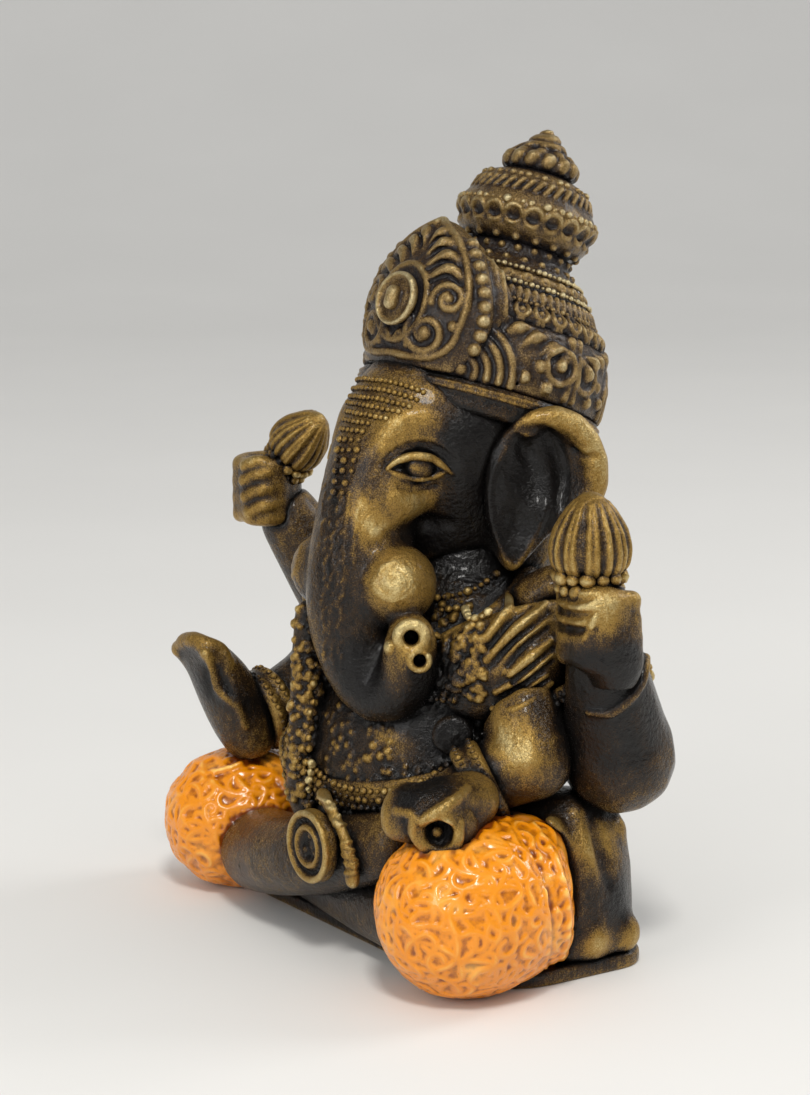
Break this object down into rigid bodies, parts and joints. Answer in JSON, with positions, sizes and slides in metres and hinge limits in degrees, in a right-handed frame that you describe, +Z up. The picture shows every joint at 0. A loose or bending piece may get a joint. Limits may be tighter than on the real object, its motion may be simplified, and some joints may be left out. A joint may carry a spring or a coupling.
{
  "type": "seated ganesha figurine",
  "caption": "Small seated elephant-headed deity figurine with four arms, a tall domed crown and bright enamelled knee cloths, on a thin flat foot plate.",
  "frame": {"origin": "on the table, under the middle of the figure, at the underside of the foot plate", "axes": "+Z up, the figure faces -Y, its own left is +X"},
  "size_m": [0.0596, 0.0396, 0.0798],
  "materials": {
    "dark_patina": "black-brown lacquer over cast resin, dry-brushed with gold on the high places",
    "gilt_patina": "gold dry-brushed over black lacquer, worn dark in the hollows",
    "crown_patina": "black lacquer with a grey-violet cast and pale gold on the raised scrolls",
    "orange_enamel": "glossy orange enamel, brown in the engraved curls",
    "plate_patina": "black lacquer, worn along the edges"
  },
  "bodies": {
    "root": {"foot_plate": "plate_patina", "finial_tip": "gilt_patina", "finial_beads": "gilt_patina", "finial_bowl": "gilt_patina", "crown_beads": "gilt_patina", "crown_bands": "crown_patina", "crown_drum": "crown_patina", "crown_crest": "crown_patina", "crown_jewel": "gilt_patina", "brow_band": "gilt_patina", "left_eye": "gilt_patina", "right_eye": "gilt_patina", "torso": "dark_patina", "trunk": "gilt_patina", "left_tusk": "gilt_patina", "right_tusk": "gilt_patina", "left_ear": "gilt_patina", "right_ear": "gilt_patina", "head": "dark_patina", "sweet": "gilt_patina", "left_bangles": "gilt_patina", "right_bangles": "gilt_patina", "rear_left_armlet": "gilt_patina", "rear_right_armlet": "gilt_patina", "left_bud_collar": "gilt_patina", "left_bud": "gilt_patina", "right_bud_collar": "gilt_patina", "right_bud": "gilt_patina", "left_palm_hand": "gilt_patina", "right_raised_hand": "gilt_patina", "rear_left_hand": "gilt_patina", "rear_right_hand": "gilt_patina", "medallion": "gilt_patina", "left_knee_cloth": "orange_enamel", "right_knee_cloth": "orange_enamel", "sash_tail": "gilt_patina", "right_shin": "dark_patina", "left_shin": "dark_patina", "garland": "gilt_patina", "belt_clasp": "gilt_patina", "necklace": "gilt_patina", "left_shawl": "gilt_patina", "right_shawl": "gilt_patina", "left_forearm": "dark_patina", "right_forearm": "dark_patina", "rear_left_forearm": "dark_patina", "rear_right_forearm": "dark_patina", "left_upper_arm": "dark_patina", "right_upper_arm": "dark_patina", "rear_left_upper_arm": "dark_patina", "rear_right_upper_arm": "dark_patina", "belt": "gilt_patina", "left_haunch": "dark_patina", "right_haunch": "dark_patina", "seat": "dark_patina"}
  },
  "joints": []
}
